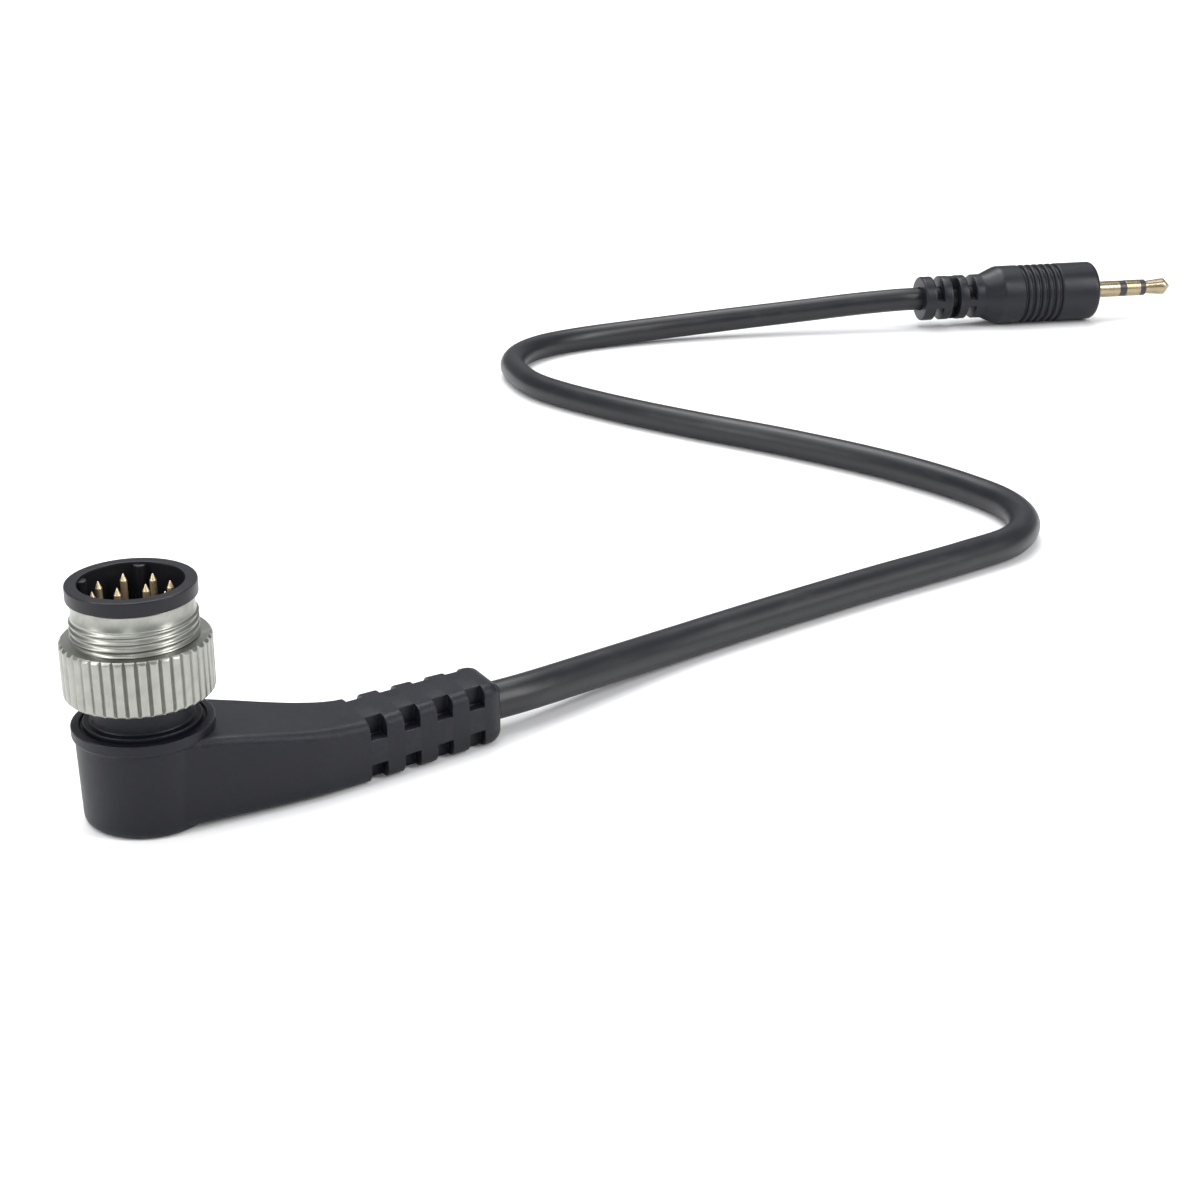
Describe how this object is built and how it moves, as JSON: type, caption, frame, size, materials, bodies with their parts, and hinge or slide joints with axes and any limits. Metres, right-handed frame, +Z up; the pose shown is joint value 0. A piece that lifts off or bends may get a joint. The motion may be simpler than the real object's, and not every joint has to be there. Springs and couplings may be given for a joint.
{
  "type": "cable shutter release lead",
  "caption": "Remote release lead: right-angle screw-lock multi-pin camera plug with a knurled ring, thin black cable, and a slim gilt jack in a ribbed handle.",
  "frame": {"origin": "the camera plug's own axis where it meets the flat base under the pot", "axes": "+Z up the plug's axis, out of its nose; +X along the arm, the way the cable leaves"},
  "size_m": [0.1985, 0.1185, 0.0198],
  "materials": {
    "moulding": "fine-grained semi-matte moulded plastic",
    "insulator": "smooth semi-matte insulator",
    "cable_skin": "smooth satin cable jacket",
    "filler": "unpolished inner moulding",
    "lead_skin": "thin wire insulation",
    "nickel": "nickel plated, turned and knurled",
    "spring_steel": "bright spring steel",
    "gilt": "pale gold plating"
  },
  "bodies": {
    "root": {"angle_housing": "moulding", "inner_mould": "filler", "neck_collar": "moulding", "insulator_cup": "insulator", "contact_carrier": "insulator", "contact_pin_01": "gilt", "contact_pin_02": "gilt", "contact_pin_03": "gilt", "contact_pin_04": "gilt", "contact_pin_05": "gilt", "contact_pin_06": "gilt", "contact_pin_07": "gilt", "contact_pin_08": "gilt", "contact_pin_09": "gilt", "contact_pin_10": "gilt", "cable_crimp": "spring_steel", "plug_lead_1": "lead_skin", "plug_lead_2": "lead_skin", "plug_lead_3": "lead_skin", "cable_jacket": "cable_skin", "jack_handle": "moulding", "jack_inner_mould": "filler", "jack_crimp": "spring_steel", "jack_sleeve": "gilt", "jack_band_1": "insulator", "jack_ring": "gilt", "jack_band_2": "insulator", "jack_tip": "gilt", "jack_lead_1": "lead_skin", "jack_lead_2": "lead_skin", "jack_lead_3": "lead_skin"},
    "clip": {"ring_clip": "spring_steel"},
    "ring": {"coupling_ring": "nickel"}
  },
  "joints": [
    {"name": "ring_slide", "type": "slide", "parent": "root", "child": "clip", "axis": [0, 0, 1], "range_m": [-0.002, 0]},
    {"name": "ring_spin", "type": "hinge", "parent": "clip", "child": "ring", "pos_m": [0, 0, 0.012], "axis": [0, 0, 1], "continuous": true}
  ]
}
